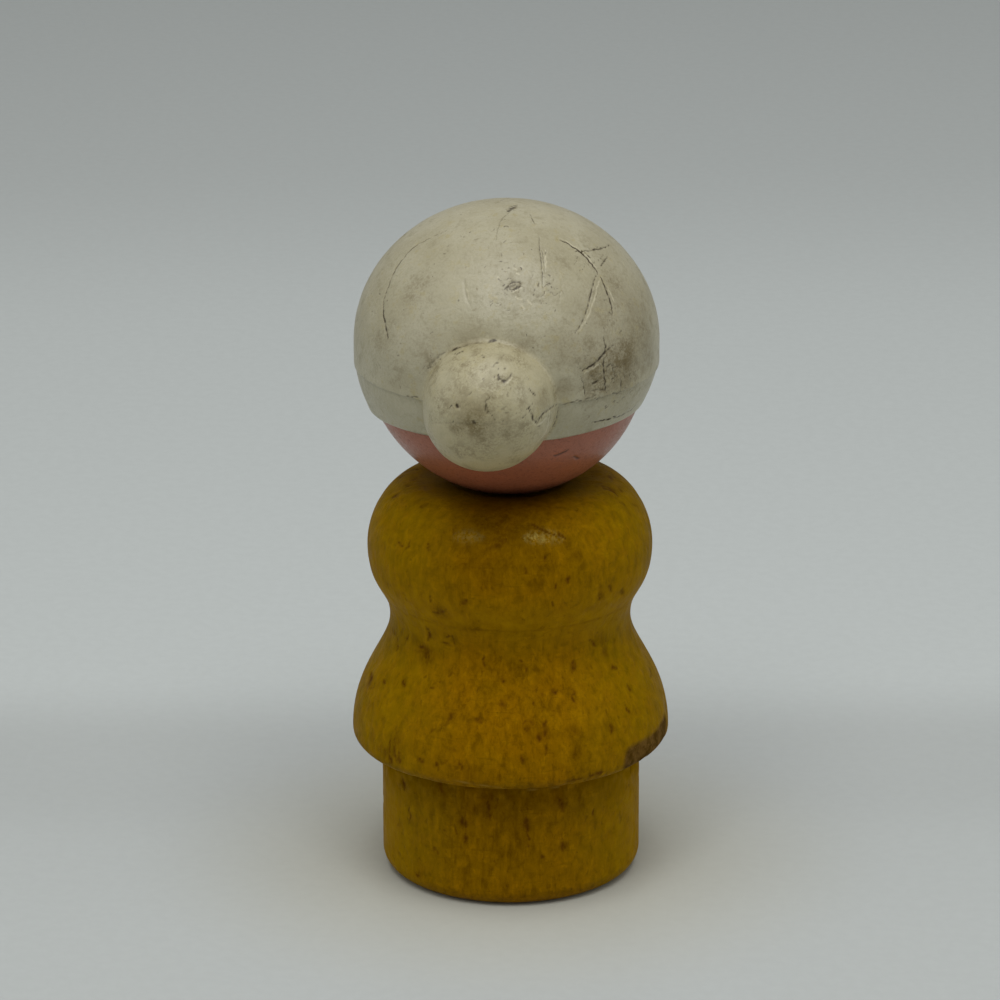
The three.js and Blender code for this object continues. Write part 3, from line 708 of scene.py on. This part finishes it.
# Hair: an ivory plastic shell that is snapped and glued over the ball, with a bun at the nape.
# It is moulded in two halves, which meet in a small step round its girth, and is scratched and dirty.
CAP_BORE, DOME_RADIUS, DOME_RISE, BAND_RADIUS = 11.3 * MM, 12.87 * MM, 11.83 * MM, 12.75 * MM
DOME_LEVEL, PARTING_LEVEL = BALL_LEVEL + 1.17 * MM, BALL_LEVEL - 0.65 * MM
BUN_RADIUS, BUN_REACH, BUN_FILLET, BUN_SEAM = 5.45 * MM, 12.2 * MM, 0.6 * MM, 0.05 * MM
DOME_FULLNESS, BAND_SWELL, BAND_FALL, RIM_LEAN = 0.13 * MM, 0.14 * MM, 0.25, 0.22 * MM
LIP_ROUND, PARTING_STEP, SIDE_BAND = 0.22 * MM, 0.07 * MM, math.radians(2)
HAIR_COLUMNS, DOME_ROWS, BAND_ROWS, LIP_ROWS, BORE_ROWS = 660, 190, 60, 6, 14
HIGHEST_TILT, LOWEST_TILT = math.radians(85), math.radians(-60)
dome_centre = np.array((0, 0, DOME_LEVEL))
parting_dip = PARTING_LEVEL - DOME_LEVEL
bun_way = np.array((0, BUN_REACH, parting_dip))
bun_distance = np.linalg.norm(bun_way)
parting_tilt = math.atan2(parting_dip, DOME_RADIUS * math.sqrt(1 - (parting_dip / DOME_RISE) ** 2))


def ball_reach(ways, radius):
    """How far it is from the centre of the dome to a ball about the centre of the head."""
    along = -(DOME_LEVEL - BALL_LEVEL) * ways[..., 2]
    return along + np.sqrt(along**2 + radius**2 - (DOME_LEVEL - BALL_LEVEL) ** 2)


def shell_reach(ways):
    """How far it is to the outside of the dome or, below the parting, of the band."""
    flat, steep = np.hypot(ways[..., 0], ways[..., 1]), ways[..., 2]
    dome = 1 / np.sqrt((flat / DOME_RADIUS) ** 2 + (steep / DOME_RISE) ** 2)
    side = np.minimum(DOME_RADIUS / np.maximum(flat, 0.5), dome + DOME_FULLNESS)
    swell = BAND_SWELL * clipped(1 - (math.sin(parting_tilt) - steep) / BAND_FALL)
    upper = np.where(steep < 0, side, dome)
    return np.where(steep >= math.sin(parting_tilt) - 1e-9, upper, BAND_RADIUS + swell)


def turn_from_bun(ways):
    """The angle between the way to the bun and others."""
    return np.arccos(np.clip(ways @ bun_way / bun_distance, -1, 1))


def hair_reach(ways):
    """How far it is to the outside of the hair, with the bun and the hollow curve round its foot."""
    shell = shell_reach(ways)
    off = turn_from_bun(ways)
    to_shell, to_bun = shell + BUN_FILLET, BUN_RADIUS + BUN_FILLET
    along = (to_shell**2 - to_bun**2 + bun_distance**2) / (2 * bun_distance)
    across = np.sqrt(to_shell**2 - along**2)
    foot = np.arctan2(across, along)
    neck_along = bun_distance + (along - bun_distance) * BUN_RADIUS / to_bun
    neck = np.arctan2(across * BUN_RADIUS / to_bun, neck_along)
    on_bun = bun_distance * np.cos(off)
    on_bun = on_bun + np.sqrt(np.clip(BUN_RADIUS**2 - (bun_distance * np.sin(off)) ** 2, 0, None))
    middle = along * np.cos(off) + across * np.sin(off)
    on_fillet = middle - np.sqrt(np.clip(BUN_FILLET**2 - along**2 - across**2 + middle**2, 0, None))
    return np.where(off < neck, on_bun, np.where(off < foot, on_fillet, shell))


def in_bun(ways):
    """Above 0 where the bun stands clear of the ball."""
    off = turn_from_bun(ways)
    off_axis = BUN_RADIUS**2 - (bun_distance * np.sin(off)) ** 2
    far_side = bun_distance * np.cos(off) + np.sqrt(np.clip(off_axis, 0, None))
    return np.where(off_axis > 0, far_side - ball_reach(ways, BALL_RADIUS + BUN_SEAM), -1)


def at(reach, ways):
    """Points at a reach from the centre of the dome."""
    return dome_centre + reach[..., None] * ways


def hair_there(tilt):
    ways = towards(hair_angles, tilt)
    return np.maximum(hair_covers(at(shell_reach(ways), ways)), in_bun(ways))


def bore_there(tilt):
    ways = towards(hair_angles, tilt)
    return hair_covers(at(ball_reach(ways, CAP_BORE), ways))


def shell_points(tilts):
    ways = towards(hair_angles, tilts)
    return at(hair_reach(ways), ways)


hair_angles = columns(HAIR_COLUMNS)
edge_tilt = first_change(hair_there, HIGHEST_TILT, LOWEST_TILT)
bore_tilt = first_change(bore_there, HIGHEST_TILT, LOWEST_TILT)
under_bun = in_bun(towards(hair_angles, edge_tilt + 1e-3)) > 0
inner_tilt = np.where(under_bun, edge_tilt, bore_tilt)
lip = np.where(under_bun, 0.2, 1) * LIP_ROUND
edge = shell_points(edge_tilt)
last_tilt = edge_tilt + lip / DOME_RADIUS
middle_tilt = np.maximum(parting_tilt, last_tilt + SIDE_BAND)
fall = np.linspace(0, 1, DOME_ROWS + 1)[1:, None]
dome = shell_points(math.pi / 2 + (middle_tilt - math.pi / 2) * fall)
fall = np.linspace(0, 1, BAND_ROWS + 1)[1:, None]
below_step = middle_tilt - PARTING_STEP / DOME_RADIUS
band = shell_points(below_step + (last_tilt - below_step) * np.vstack([[[0]], fall]))

bore_rise = np.linspace(0, 1, BORE_ROWS + 1)[:-1, None] ** 2
bore_ways = towards(hair_angles, inner_tilt + (math.pi / 2 - inner_tilt) * bore_rise)
on_ball = at(ball_reach(bore_ways, BALL_RADIUS + BUN_SEAM), bore_ways)
in_cap = at(ball_reach(bore_ways, CAP_BORE), bore_ways)
bore = np.where((hair_covers(on_ball) > 1e-6)[..., None], in_cap, on_ball)
bore[0] = np.where(under_bun[:, None], on_ball[0], in_cap[0])
inward = bore[1] - edge
inward = inward / np.linalg.norm(inward, axis=1, keepdims=True)
t = np.linspace(0, 1, LIP_ROWS + 1)[1:, None, None]
lip_round = band[-1] * (1 - t) ** 2 + edge * 2 * t * (1 - t) + (edge + lip[:, None] * inward) * t**2
crown, bore_crown = (0, 0, DOME_LEVEL + DOME_RISE), (0, 0, BALL_LEVEL + CAP_BORE)
rings = np.vstack([dome, band, lip_round, bore])[::-1]
below_parting = (PARTING_LEVEL - rings[..., 2]) / (PARTING_LEVEL - BALL_LEVEL + RIM_DROP)
rings[..., 0] += RIM_LEAN * clipped(below_parting)
hair = skin("hair_cap_with_bun", rings, bore_crown, crown)
set_aside(hair)
points, normals, tree = measured(hair)

# Scratches over pixels of the photograph: the line, its width and depth in millimetres, and its
# darkness. Some of the first ones, turned half round and wider, stand for those of the far side.
SCRATCHES = (
    ((388, 338, 384, 320, 383, 308), 0.17, 0.07, 0.9),
    ((387, 336, 383, 314, 384, 300, 390, 281, 400, 262, 415, 246, 434, 236, 447, 230), 0.13, 0.06, 0.68),
    ((556, 238, 569, 244, 583, 254, 594, 267, 598, 273), 0.15, 0.06, 0.9),
    ((598, 273, 595, 279, 591, 294, 587, 310, 581, 325, 575, 333), 0.15, 0.09, 0.65),
    ((601, 277, 605, 287, 611, 302, 613, 314), 0.16, 0.05, 0.8),
    ((575, 252, 598, 249, 610, 245), 0.17, 0.04, 0.8), ((582, 250, 591, 258), 0.16, 0.04, 0.8),
    ((601, 266, 608, 256), 0.15, 0.04, 0.75), ((539, 236, 540, 250, 542, 267, 543, 289), 0.11, 0.05, 0.55),
    ((542, 250, 545, 273), 0.1, 0.04, 0.5), ((530, 214, 535, 224), 0.11, 0.04, 0.55),
    ((517, 205, 509, 212, 502, 219, 498, 229, 496, 240), 0.13, 0.05, 0.35),
    ((516, 204, 508, 211), 0.5, 0.06, 0.58), ((464, 281, 466, 294, 470, 306), 0.2, 0.07, 0.25),
    ((507, 288, 511, 283, 519, 282, 520, 286, 511, 290, 507, 288), 0.15, 0.09, 0.7),
    ((509, 287, 517, 284), 0.2, 0.06, 0.45), ((517, 296, 521, 300), 0.14, 0.06, 0.3),
    ((604, 338, 606, 348, 604, 354, 595, 363, 582, 371), 0.16, 0.08, 1.0),
    ((604, 354, 614, 345), 0.14, 0.04, 0.8), ((605, 350, 604, 364, 605, 378, 606, 392), 0.15, 0.07, 0.9),
    ((621, 376, 621, 388, 618, 394), 0.13, 0.05, 0.7), ((582, 380, 584, 386, 585, 396), 0.12, 0.05, 0.65),
    ((592, 383, 599, 381), 0.18, 0.05, 0.8), ((588, 392, 600, 390, 612, 391), 0.14, 0.04, 0.6),
    ((612, 394, 618, 394), 0.16, 0.05, 0.6), ((577, 362, 578, 365), 0.15, 0.04, 0.6),
    ((592, 423, 606, 420, 617, 416), 0.17, 0.06, 0.8),
    ((612, 419, 622, 415, 632, 409, 638, 401), 0.16, 0.06, 0.7),
    ((449, 351, 461, 347, 478, 343, 494, 342), 0.24, 0.02, 0.42), ((453, 350, 460, 347), 0.26, 0.03, 0.85),
    ((456, 354, 465, 351), 0.2, 0.03, 0.8), ((488, 341, 497, 340), 0.24, 0.03, 0.75),
    ((430, 366, 438, 357, 446, 352), 0.22, 0.02, 0.42), ((418, 375, 425, 365), 0.14, 0.02, 0.35),
    ((433, 385, 437, 378), 0.15, 0.03, 0.55), ((498, 374, 501, 379, 505, 383), 0.2, 0.08, 0.85),
    ((503, 381, 508, 379, 512, 374), 0.16, 0.06, 0.65), ((502, 380, 507, 381), 0.28, 0.05, 0.6),
    ((481, 354, 485, 358), 0.16, 0.05, 0.6), ((456, 405, 458, 407), 0.25, 0.09, 0.9),
    ((473, 421, 475, 423), 0.23, 0.07, 0.9), ((485, 405, 486, 414), 0.14, 0.05, 0.55),
    ((431, 423, 449, 423, 468, 424, 490, 424, 507, 424), 0.3, 0.02, 0.3),
    ((557, 405, 570, 403, 583, 400, 600, 397), 0.13, 0.03, 0.7),
    ((405, 395, 411, 397, 418, 397), 0.14, 0.04, 0.6),
    ((484, 399, 487, 406, 488, 411, 495, 418), 0.14, 0.05, 0.6),
    ((529, 408, 532, 413, 534, 420, 538, 422, 541, 417), 0.22, 0.08, 0.75),
    ((536, 421, 541, 416, 548, 410, 558, 404), 0.16, 0.07, 0.75), ((530, 389, 536, 396), 0.17, 0.05, 0.8),
    ((507, 352, 499, 359, 492, 366), 0.09, 0.03, 0.35), ((526, 376, 531, 381), 0.1, 0.03, 0.4),
    ((467, 396, 473, 391), 0.12, 0.04, 0.5), ((559, 407, 556, 420, 550, 433), 0.16, 0.05, 0.5),
    ((392, 320, 396, 328), 0.1, 0.03, 0.45), ((430, 334, 434, 331), 0.1, 0.03, 0.5),
    ((555, 296, 560, 292), 0.1, 0.03, 0.45), ((560, 298, 561, 290, 566, 297), 0.1, 0.04, 0.5),
    ((630, 262, 634, 272), 0.1, 0.03, 0.4), ((636, 300, 640, 316), 0.1, 0.03, 0.4),
)
SCRATCH_WOBBLE, SCRATCH_BREAK, FAR_SCRATCHES, FAR_WIDENING = 0.9, (0.3 * MM, 8), 14, 1.8
scratch, groove = np.zeros(len(points)), np.zeros(len(points))
for index, (pixels, width, depth, darkness) in enumerate(SCRATCHES):
    path = drawn_on(tree, pixels, SCRATCH_WOBBLE)
    mark = nearness(points, path, width * MM)
    if index < FAR_SCRATCHES and index % 2:
        far_path = path * HALF_TURN + (2 * PLAY, 0, 0)
        mark = np.maximum(mark, nearness(points, far_path, FAR_WIDENING * width * MM))
    scratch = np.maximum(scratch, darkness * mark)
    groove = np.maximum(groove, depth * MM * mark)

# Pale lines along the edges of the deeper scratches, painted highlight where the edges catch the light,
# and short pale strokes that are painted glints in the dome's highlight.
BURRS = (
    (602, 277, 598, 284, 595, 297, 591, 310, 586, 321, 579, 331), (560, 238, 573, 245, 587, 256, 597, 268),
    (501, 379, 506, 383, 513, 377), (601, 364, 590, 370, 584, 374), (550, 411, 549, 420, 546, 432, 541, 438),
    (512, 292, 522, 288), (545, 250, 546, 268), (608, 286, 614, 302), (458, 410, 461, 409),
    (533, 423, 541, 424, 546, 418), (513, 268, 517, 270), (520, 266, 525, 268), (515, 273, 520, 275),
    (516, 297, 522, 300), (467, 288, 469, 300), (497, 276, 501, 279), (527, 301, 532, 304),
    (520, 305, 524, 308),
)
BURR_WIDTH, BURR_WOBBLE, BURR_BREAK = 0.12 * MM, 1.2, (0.4 * MM, 6)
burr = ragged(points, lines_on(points, tree, BURRS, BURR_WIDTH, BURR_WOBBLE), *BURR_BREAK)

# Crowds of small nicks: a pixel at the middle of each crowd, its half size in pixels, and how many.
NICKED = (
    ((486, 372), (34, 16), 44), ((485, 410), (30, 18), 26), ((608, 374), (20, 15), 80),
    ((612, 296), (20, 34), 44), ((588, 258), (18, 10), 26), ((438, 364), (12, 8), 30),
    ((480, 240), (70, 24), 18), ((400, 330), (24, 40), 14), ((514, 287), (12, 7), 20),
    ((615, 398), (20, 8), 20), ((535, 415), (9, 9), 22), ((510, 330), (60, 14), 10),
    ((546, 284), (16, 14), 36), ((508, 270), (28, 10), 18), ((512, 297), (20, 12), 26),
)
NICK_WOBBLE, NICK_WIDTH, NICK_DEPTH = 2.0, 0.075 * MM, 0.03 * MM
chance = np.random.default_rng(12)
nicks, nick_grooves = np.zeros(len(points)), np.zeros(len(points))
for middle, half_size, count in NICKED:
    for start in chance.normal(middle, np.array(half_size) * 0.6, (count, 2)):
        way, length = chance.uniform(0, math.pi), chance.uniform(0.5, 4.5)
        end = start + length * np.array((math.cos(way), math.sin(way)))
        path = drawn_on(tree, (start, end), NICK_WOBBLE)
        if len(path):
            mark = nearness(points, path, NICK_WIDTH * chance.uniform(0.8, 1.7), tapered=False)
            nicks = np.maximum(nicks, chance.uniform(0.1, 0.65) * mark)
            nick_grooves = np.maximum(nick_grooves, NICK_DEPTH * mark)
scratch = np.maximum(ragged(points, scratch, *SCRATCH_BREAK), nicks)
groove = np.maximum(groove, nick_grooves)

# Handled dirt, in soft washes and in speckled patches, and places rubbed clean: a pixel at the middle, the
# radius in millimetres, and the strength. Some washes are painted shade, in the crease above the bun, down
# the bun's right side and over the dome's highlight, and the clean places are painted light as well, the
# chief one a painted highlight on the dome.
WASHES = (
    (624, 362, 4.4, 0.8), (594, 370, 2.6, 0.85), (642, 322, 3.6, 0.5), (618, 296, 4.0, 0.4),
    (474, 423, 2.7, 0.78), (500, 436, 3.6, 0.18), (460, 404, 2.2, 0.4), (420, 290, 3.4, 0.2),
    (384, 350, 3.6, 0.18), (432, 370, 2.2, 0.25), (556, 258, 2.8, 0.1), (560, 345, 2.6, 0.34),
    (426, 350, 3.0, 0.16), (400, 385, 3.0, 0.12), (590, 395, 2.0, 0.4), (592, 316, 3.6, 0.32),
    (648, 352, 2.6, 0.6), (576, 352, 2.6, 0.35), (543, 402, 1.6, 0.6), (600, 254, 2.6, 0.16),
    (520, 292, 3.8, 0.2), (502, 256, 4.6, 0.1), (520, 344, 2.0, 0.42), (472, 341, 2.4, 0.3),
    (565, 390, 1.6, 0.48), (590, 420, 2.4, 0.2), (452, 424, 1.5, 0.28), (494, 358, 2.4, 0.08),
    (503, 423, 1.6, 0.32), (482, 404, 2.0, 0.25),
)
STAINED_PATCHES = (
    (612, 366, 2.6, 0.95), (628, 352, 2.2, 0.8), (600, 384, 1.9, 0.9), (632, 378, 1.9, 0.8),
    (606, 318, 2.0, 0.3), (612, 278, 2.0, 0.3), (560, 262, 1.8, 0.22), (421, 284, 2.0, 0.25),
    (410, 296, 1.6, 0.25), (380, 340, 2.0, 0.25), (400, 380, 2.0, 0.15), (434, 364, 1.2, 0.5),
    (450, 352, 0.9, 0.5), (475, 425, 1.5, 0.85), (508, 411, 1.3, 0.3), (500, 434, 1.8, 0.3),
    (535, 416, 1.0, 0.8), (512, 207, 1.1, 1.0), (514, 286, 0.9, 0.7), (484, 356, 0.7, 0.3),
    (540, 345, 1.2, 0.35), (457, 406, 0.6, 0.6), (640, 330, 1.6, 0.5), (540, 430, 1.2, 0.3),
    (590, 345, 1.2, 0.4), (488, 406, 0.9, 0.4), (545, 385, 1.0, 0.3), (640, 290, 1.6, 0.35),
)
CLEANED = (
    (452, 286, 3.8, 0.8), (468, 211, 3.2, 0.6), (546, 211, 3.2, 0.6), (520, 392, 1.4, 0.8),
    (400, 404, 2.4, 0.9), (440, 400, 1.2, 0.5), (448, 378, 2.0, 0.4),
)


def handled(patches):
    """How far a set of patches covers each point."""
    left_clean = np.ones(len(points))
    for *pixel, radius, strength in patches:
        left_clean *= 1 - strength * nearness(points, drawn_on(tree, 2 * pixel), radius * MM, tapered=False)
    return 1 - left_clean


wash, dirt, clean = handled(WASHES), handled(STAINED_PATCHES), handled(CLEANED)

# Dirt also sits in the angle round the bun, and thinly in the parting. The bun is yellower than the
# rest, and browner beneath.
SEAM_WIDTH, SEAM_END, BUN_EDGE, BUN_FOOT, BUN_FOOT_WIDTH = 0.12 * MM, 4 * MM, 0.5 * MM, 0.05 * MM, 0.4 * MM
HAIR_LUMP_SIZE, HAIR_DENT_SIZE, HAIR_DENT_DEPTH, HAIR_WAVE_DEPTH = 1.4 * MM, 2.4 * MM, 0.03 * MM, 0.015 * MM
ways = points - dome_centre - (PLAY, 0, 0)
distance = np.linalg.norm(ways, axis=1)
outer = distance > shell_reach(ways / distance[:, None]) - SKIN_DEPTH
off_bun = np.linalg.norm(ways - bun_way, axis=1) - BUN_RADIUS
lumps = unevenness(points, HAIR_LUMP_SIZE, 5)
seam = clipped(1 - np.abs(points[:, 2] - PARTING_LEVEL) / SEAM_WIDTH) * (off_bun > BUN_EDGE)
scratch = np.maximum(scratch, 0.4 * seam * np.clip(0.2 + 1.4 * lumps, 0.02, 1) * (points[:, 0] < SEAM_END))
foot = clipped(1 - np.abs(off_bun - BUN_FOOT) / BUN_FOOT_WIDTH)
dirt = np.maximum(dirt, 0.7 * foot * clipped(0.5 + 1.4 * lumps))
dents = HAIR_DENT_DEPTH * clipped(unevenness(points, HAIR_DENT_SIZE, 7) - 0.25)
sink = np.minimum(-dents - groove - HAIR_WAVE_DEPTH * (1 + lumps), 0) * outer
aged = clipped(1 - off_bun / BUN_EDGE)
under = aged * clipped((bun_way[2] - ways[:, 2]) / (0.6 * BUN_RADIUS))
store(
    hair, points + sink[:, None] * normals, scratch=scratch, dirt=dirt, wash=wash, clean=clean, burr=burr,
    aged=aged, under=under,
)

IVORY, IVORY_LIGHT, IVORY_GREY = colour(166, 159, 131), colour(176, 170, 144), colour(148, 140, 112)
BUN_YELLOW, BUN_TAN, IVORY_CLEAN = colour(179, 170, 135), colour(180, 160, 111), colour(184, 178, 152)
DIRT_BROWN, SCRATCH_BROWN = colour(92, 74, 24), colour(52, 39, 12)
OLD_YELLOW, BURR_PALE, IVORY_RELIEF = colour(164, 152, 108), colour(204, 196, 166), 0.05 * MM
ivory = Finish("ivory_plastic")
wavy = ivory.shifted(ivory.place, 0.9, 0.7)
broad = ivory.cloud(ivory.place, 0.22, 3)
mottle = ivory.cloud(wavy, 0.9, 5, 0.7)
fine = ivory.cloud(ivory.place, 5.0, 4, 0.75)
rubs = ivory.specks(ivory.shifted(ivory.scaled(ivory.place, 1.6, 0.7, 0.35), 0.8, 1.1), 1.1, 0.13, 0.22)
crumbs = ivory.specks(ivory.shifted(ivory.place, 0.4, 3.0), 1.25, 0.14, 0.16)
ivory.base = ivory.tint(ivory.span(broad, 0.35, 0.65), IVORY, IVORY_LIGHT)
ivory.coat("aged", BUN_YELLOW, 0.7)
ivory.coat("under", BUN_TAN, 0.6)
greyed = ivory.span("aged", 0, 1, 0.8, 0.35)
ivory.coat(ivory.span(mottle, 0.5, 0.72), IVORY_GREY, greyed)
ivory.coat(ivory.span(mottle, 0.46, 0.3, 0, 0.6), OLD_YELLOW)
grainy = ivory.span("aged", 0, 1, 1, 0.6)
ivory.coat(ivory.span(fine, 0.5, 0.68, 0, 0.5), IVORY_GREY, grainy)
ivory.coat(ivory.span(fine, 0.48, 0.32, 0, 0.45), IVORY_LIGHT, grainy)
# Painted light and a painted highlight: paler places on the dome and the bun.
ivory.coat("clean", IVORY_CLEAN, 0.5)
speckled = ivory.plus(ivory.times(mottle, 0.55), ivory.times(fine, 0.45))
# Dirt and painted shade in soft washes.
washed = ivory.times("wash", ivory.span(speckled, 0.35, 0.6, 0.45, 0.8))
ivory.coat(washed, DIRT_BROWN)
patchy = ivory.times("dirt", ivory.span(speckled, 0.42, 0.6))
ivory.coat(patchy, DIRT_BROWN, 0.75)
ivory.coat(rubs, DIRT_BROWN, 0.35)
ivory.coat(ivory.times(crumbs, grainy), SCRATCH_BROWN, 0.55)
# Painted highlight and glints: pale scratch edges and strokes.
ivory.coat("burr", BURR_PALE, 0.85)
ivory.coat(ivory.span("scratch", 0.06, 0.72), SCRATCH_BROWN)
dull = ivory.span(mottle, 0.3, 0.7, 0.3, 0.46)
relief = ivory.plus(ivory.cloud(ivory.place, 2.4, 3), ivory.times(fine, 0.35))
relief = ivory.minus(relief, ivory.times(rubs, 0.4))
ivory.surface.inputs["Specular IOR Level"].default_value = 0.4
hair.data.materials.append(ivory.shine(dull, relief, IVORY_RELIEF))
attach(hair, "head")
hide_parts("hair_cap")


# Floor and light: a pale grey sheet of paper under a wide lamp overhead, with soft light all round,
# as in a small light tent. The floor is a shade darker from a line behind the figure forwards, with a
# band of painted shade just behind the figure; the far paper is painted darker, as painted shade, and
# the paper round the foot is painted warm, as painted reflected light from the figure.
PAPER, PAPER_GREY = colour(197, 202, 200), colour(140, 141, 138)
BOARD_SHADE, BOARD_EDGE_SHADE, FAR_SHADE = 0.18, 0.27, 0.19
PAPER_WARM, PAPER_HALO = colour(198, 188, 150), 0.28
PAPER_RADII, PAPER_DROP, PAPER_COLUMNS, PAPER_RELIEF = (0.2, 0.8, 3.0), 0.02 * MM, 96, 0.02 * MM
# Each lamp: degrees to the right of the camera, degrees up, its distance and size in metres, its watts,
# its spread in degrees, and whether it shows in a gloss.
LAMPS = (
    ("overhead_lamp", 0, 76, 0.54, 0.42, 1.72, 180, True),
    ("left_window", -26, 54, 0.6, 0.14, 0.16, 180, True),
    ("right_window", 26, 54, 0.6, 0.14, 0.09, 180, True),
    ("left_lamp", -75, 22, 0.6, 0.4, 0.37, 180, True),
    ("right_lamp", 75, 22, 0.6, 0.4, 0.44, 180, True),
    ("face_lamp", 180, 14, 0.55, 0.2, 0.012, 24, False),
)
AIR_LIGHT, AIR_COLOUR = 0.28, colour(250, 252, 252)
paper_profile = np.array([(radius, -PAPER_DROP) for radius in PAPER_RADII])
mesh = bpy.data.meshes.new("paper_floor")
ring = np.arange(PAPER_COLUMNS)
after = (ring + 1) % PAPER_COLUMNS
faces = [ring.tolist()]
for row in (0, PAPER_COLUMNS):
    outside = row + PAPER_COLUMNS
    faces += np.stack([outside + ring, outside + after, row + after, row + ring], 1).tolist()
mesh.from_pydata(turned(paper_profile, columns(PAPER_COLUMNS)).reshape(-1, 3).tolist(), [], faces)
paper_floor = placed("paper_floor", mesh)
paper = Finish("pale_paper")
fibres = paper.cloud(paper.place, 0.9, 4)
paper.base = paper.tint(paper.span(fibres, 0.3, 0.7, 0, 0.05), PAPER, PAPER_GREY)
depth = paper.vectors("DOT_PRODUCT", paper.place, (towards_camera.x, towards_camera.y, 0), output="Value")
board_shade = paper.span(depth, -16, -2, BOARD_EDGE_SHADE, BOARD_SHADE)
# Darker floor from behind the figure forwards, with a band of painted shade just behind it.
paper.coat(paper.span(depth, -42, -25), PAPER_GREY, board_shade)
# Painted shade: the far paper is painted darker.
paper.coat(paper.span(depth, -140, -215, 0, FAR_SHADE), PAPER_GREY)
from_foot = paper.vectors("LENGTH", paper.place, output="Value")
# Painted reflected light: the paper round the foot is painted warm.
paper.coat(paper.span(from_foot, 34, 9, 0, PAPER_HALO), PAPER_WARM)
paper.surface.inputs["Specular IOR Level"].default_value = 0.1
mesh.materials.append(paper.shine(0.9, fibres, PAPER_RELIEF))

for name, aside, rise, distance, size, watts, spread, gleams in LAMPS:
    round_about = AZIMUTH + math.radians(aside)
    flat = distance * math.cos(math.radians(rise))
    up = distance * math.sin(math.radians(rise))
    place = (flat * math.sin(round_about), -flat * math.cos(round_about), up)
    lamp = placed(name, bpy.data.lights.new(name, "AREA"))
    lamp.data.size = size
    lamp.data.energy = watts
    lamp.data.spread = math.radians(spread)
    lamp.visible_glossy = gleams
    lamp.location = place
    lamp.rotation_euler = (Vector((0, 0, AIM_HEIGHT)) - Vector(place)).to_track_quat("-Z", "Y").to_euler()
world = bpy.data.worlds.new("soft_air")
bpy.context.scene.world = world
world.use_nodes = True
air = world.node_tree.nodes["Background"]
air.inputs["Color"].default_value = AIR_COLOUR
air.inputs["Strength"].default_value = AIR_LIGHT
bpy.context.scene.view_settings.view_transform = "Standard"
